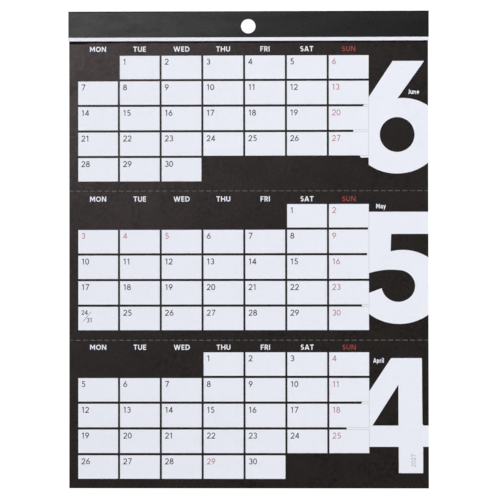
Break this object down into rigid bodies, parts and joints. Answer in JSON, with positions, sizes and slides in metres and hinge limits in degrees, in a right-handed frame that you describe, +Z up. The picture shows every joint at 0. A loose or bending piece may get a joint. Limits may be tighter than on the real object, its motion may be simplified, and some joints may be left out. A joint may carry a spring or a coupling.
{
  "type": "wall calendar",
  "caption": "Hanging tear-off wall calendar: folded card header with a hanging hole, and sheets of month leaves that lift and fold at their perforations.",
  "frame": {"origin": "centre of the hanging hole on the header's back face, which lies on the wall", "axes": "+Z up, +Y from the calendar into the wall, so the printed front faces -Y, and +X to the right as it is read"},
  "size_m": [0.248, 0.0047, 0.3282],
  "materials": {
    "header_card": "satin",
    "printed_paper": "matte",
    "binding_glue": "satin"
  },
  "bodies": {
    "header": {"header_card": "header_card", "binding_glue": "binding_glue", "stub_sheet_1": "printed_paper", "stub_sheet_2": "printed_paper", "stub_sheet_3": "printed_paper", "stub_sheet_4": "printed_paper"},
    "sheet_4": {"leaf_march": "printed_paper", "leaf_february": "printed_paper", "leaf_january": "printed_paper"},
    "sheet_3": {"leaf_december": "printed_paper", "leaf_november": "printed_paper", "leaf_october": "printed_paper"},
    "sheet_2": {"leaf_september": "printed_paper", "leaf_august": "printed_paper", "leaf_july": "printed_paper"},
    "june": {"leaf_june": "printed_paper"},
    "may": {"leaf_may": "printed_paper"},
    "april": {"leaf_april": "printed_paper"}
  },
  "joints": [
    {"name": "lift_sheet_4", "type": "hinge", "parent": "header", "child": "sheet_4", "pos_m": [0, -0.0017, -0.0108], "axis": [-1, 0, 0], "range_deg": [0, 20]},
    {"name": "lift_sheet_3", "type": "hinge", "parent": "sheet_4", "child": "sheet_3", "pos_m": [0, -0.0017, -0.0108], "axis": [-1, 0, 0], "range_deg": [0, 20]},
    {"name": "lift_sheet_2", "type": "hinge", "parent": "sheet_3", "child": "sheet_2", "pos_m": [0, -0.0017, -0.0108], "axis": [-1, 0, 0], "range_deg": [0, 20]},
    {"name": "lift_front_sheet", "type": "hinge", "parent": "sheet_2", "child": "june", "pos_m": [0, -0.0017, -0.0108], "axis": [-1, 0, 0], "range_deg": [0, 60]},
    {"name": "fold_may", "type": "hinge", "parent": "june", "child": "may", "pos_m": [0, -0.00203, -0.1132], "axis": [-1, 0, 0], "range_deg": [0, 90]},
    {"name": "fold_april", "type": "hinge", "parent": "may", "child": "april", "pos_m": [0, -0.00304, -0.2159], "axis": [-1, 0, 0], "range_deg": [0, 150]}
  ]
}
